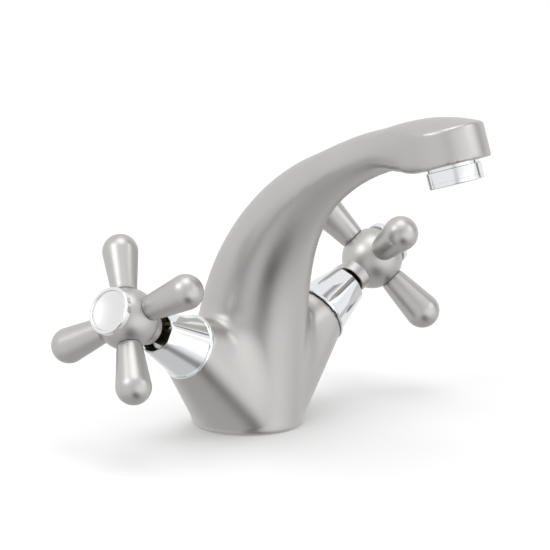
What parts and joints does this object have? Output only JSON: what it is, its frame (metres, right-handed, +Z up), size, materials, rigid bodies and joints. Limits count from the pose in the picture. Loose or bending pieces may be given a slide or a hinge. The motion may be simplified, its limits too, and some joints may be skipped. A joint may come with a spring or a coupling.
{
  "type": "bathroom mixer faucet",
  "caption": "Deck-mounted basin mixer with a swan-neck spout, an aerator, and a cross handle on an angled valve at each side.",
  "frame": {"origin": "centre of the base's underside, on the deck", "axes": "+Z up from the deck, the spout reaches towards -Y, the right handle stands out towards +X"},
  "size_m": [0.1944, 0.1695, 0.1552],
  "materials": {
    "satin_nickel": "satin",
    "pale_nickel": "satin",
    "polished_chrome": "polished",
    "yellow_brass": "machined",
    "stainless_steel": "bright",
    "black_rubber": "matte",
    "white_ceramic": "lapped",
    "white_plastic": "moulded"
  },
  "bodies": {
    "body": {"body_casting": "satin_nickel", "base_seal_ring": "black_rubber", "aerator_housing": "polished_chrome", "aerator_insert": "white_plastic", "aerator_screen": "stainless_steel", "aerator_washer": "black_rubber", "left_escutcheon": "polished_chrome", "left_valve_housing": "yellow_brass", "left_housing_oring": "black_rubber", "left_fixed_disc": "white_ceramic", "left_seat_seal": "black_rubber", "right_escutcheon": "polished_chrome", "right_valve_housing": "yellow_brass", "right_housing_oring": "black_rubber", "right_fixed_disc": "white_ceramic", "right_seat_seal": "black_rubber"},
    "left_handle": {"left_spindle": "yellow_brass", "left_moving_disc": "white_ceramic", "left_spindle_orings": "black_rubber", "left_spindle_clip": "stainless_steel", "left_bush": "yellow_brass", "left_hub": "satin_nickel", "left_cap_ring": "polished_chrome", "left_index_disc": "pale_nickel", "left_handle_screw": "stainless_steel", "left_lever_1": "satin_nickel", "left_lever_2": "satin_nickel", "left_lever_3": "satin_nickel", "left_lever_4": "satin_nickel"},
    "right_handle": {"right_spindle": "yellow_brass", "right_moving_disc": "white_ceramic", "right_spindle_orings": "black_rubber", "right_spindle_clip": "stainless_steel", "right_bush": "yellow_brass", "right_hub": "satin_nickel", "right_cap_ring": "polished_chrome", "right_index_disc": "pale_nickel", "right_handle_screw": "stainless_steel", "right_lever_1": "satin_nickel", "right_lever_2": "satin_nickel", "right_lever_3": "satin_nickel", "right_lever_4": "satin_nickel"}
  },
  "joints": [
    {"name": "left_handle_turn", "type": "hinge", "parent": "body", "child": "left_handle", "pos_m": [-0.04026, -0.003, 0.04201], "axis": [-0.8829, 0, 0.4695], "range_deg": [0, 180]},
    {"name": "right_handle_turn", "type": "hinge", "parent": "body", "child": "right_handle", "pos_m": [0.04026, -0.003, 0.04201], "axis": [0.8829, 0, 0.4695], "range_deg": [0, 180]}
  ]
}
